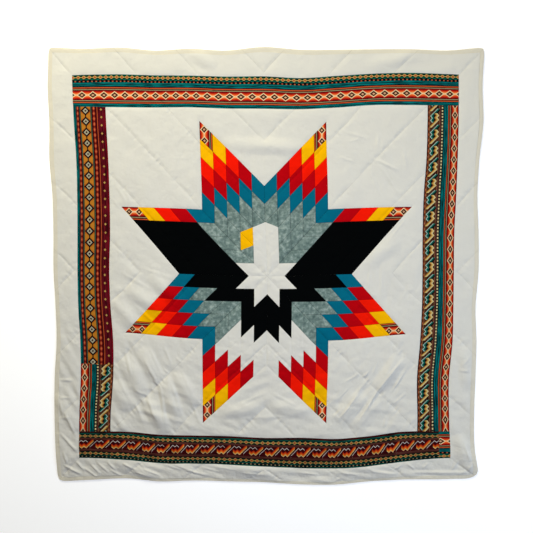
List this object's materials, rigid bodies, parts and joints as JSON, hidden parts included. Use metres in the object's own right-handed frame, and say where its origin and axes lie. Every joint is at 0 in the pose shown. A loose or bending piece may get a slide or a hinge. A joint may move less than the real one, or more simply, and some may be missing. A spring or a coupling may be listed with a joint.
{
  "type": "star quilt",
  "caption": "Square patchwork quilt lying face up: a pieced star of small diamonds with a bird figure at its heart, on white, inside a printed border and a bound white border.",
  "frame": {"origin": "middle of the quilt's outline, on the surface that it lies on", "axes": "+Z out of the quilt's face, +Y towards its top edge, where the bird's head points, +X to the right of the face"},
  "size_m": [1.7962, 1.8338, 0.02],
  "materials": {
    "star_print": "plain and printed cotton patches",
    "white_cotton": "warm white cotton",
    "border_print": "striped and stepped print on cotton",
    "binding_cotton": "cream cotton"
  },
  "bodies": {
    "root": {"star_point_east_upper": "star_print", "star_point_north_right": "star_print", "star_point_north_left": "star_print", "star_point_west_upper": "star_print", "star_point_west_lower": "star_print", "star_point_south_left": "star_print", "star_point_south_right": "star_print", "star_point_east_lower": "star_print", "corner_square_upper_right": "white_cotton", "corner_square_upper_left": "white_cotton", "corner_square_lower_left": "white_cotton", "corner_square_lower_right": "white_cotton", "side_piece_top": "white_cotton", "side_piece_left": "white_cotton", "side_piece_bottom": "white_cotton", "side_piece_right": "white_cotton", "print_strip_top": "border_print", "print_strip_left_upper": "border_print", "print_strip_left_lower": "border_print", "print_strip_right": "border_print", "print_strip_bottom_left": "border_print", "print_strip_bottom": "border_print", "print_strip_bottom_right": "border_print", "white_strip_top": "white_cotton", "white_strip_bottom": "white_cotton", "white_strip_left_upper": "white_cotton", "white_strip_left_lower": "white_cotton", "white_strip_right_upper": "white_cotton", "white_strip_right_middle": "white_cotton", "white_strip_right_lower": "white_cotton", "binding_top": "binding_cotton", "binding_bottom": "binding_cotton", "binding_left": "binding_cotton", "binding_right": "binding_cotton"}
  },
  "joints": []
}
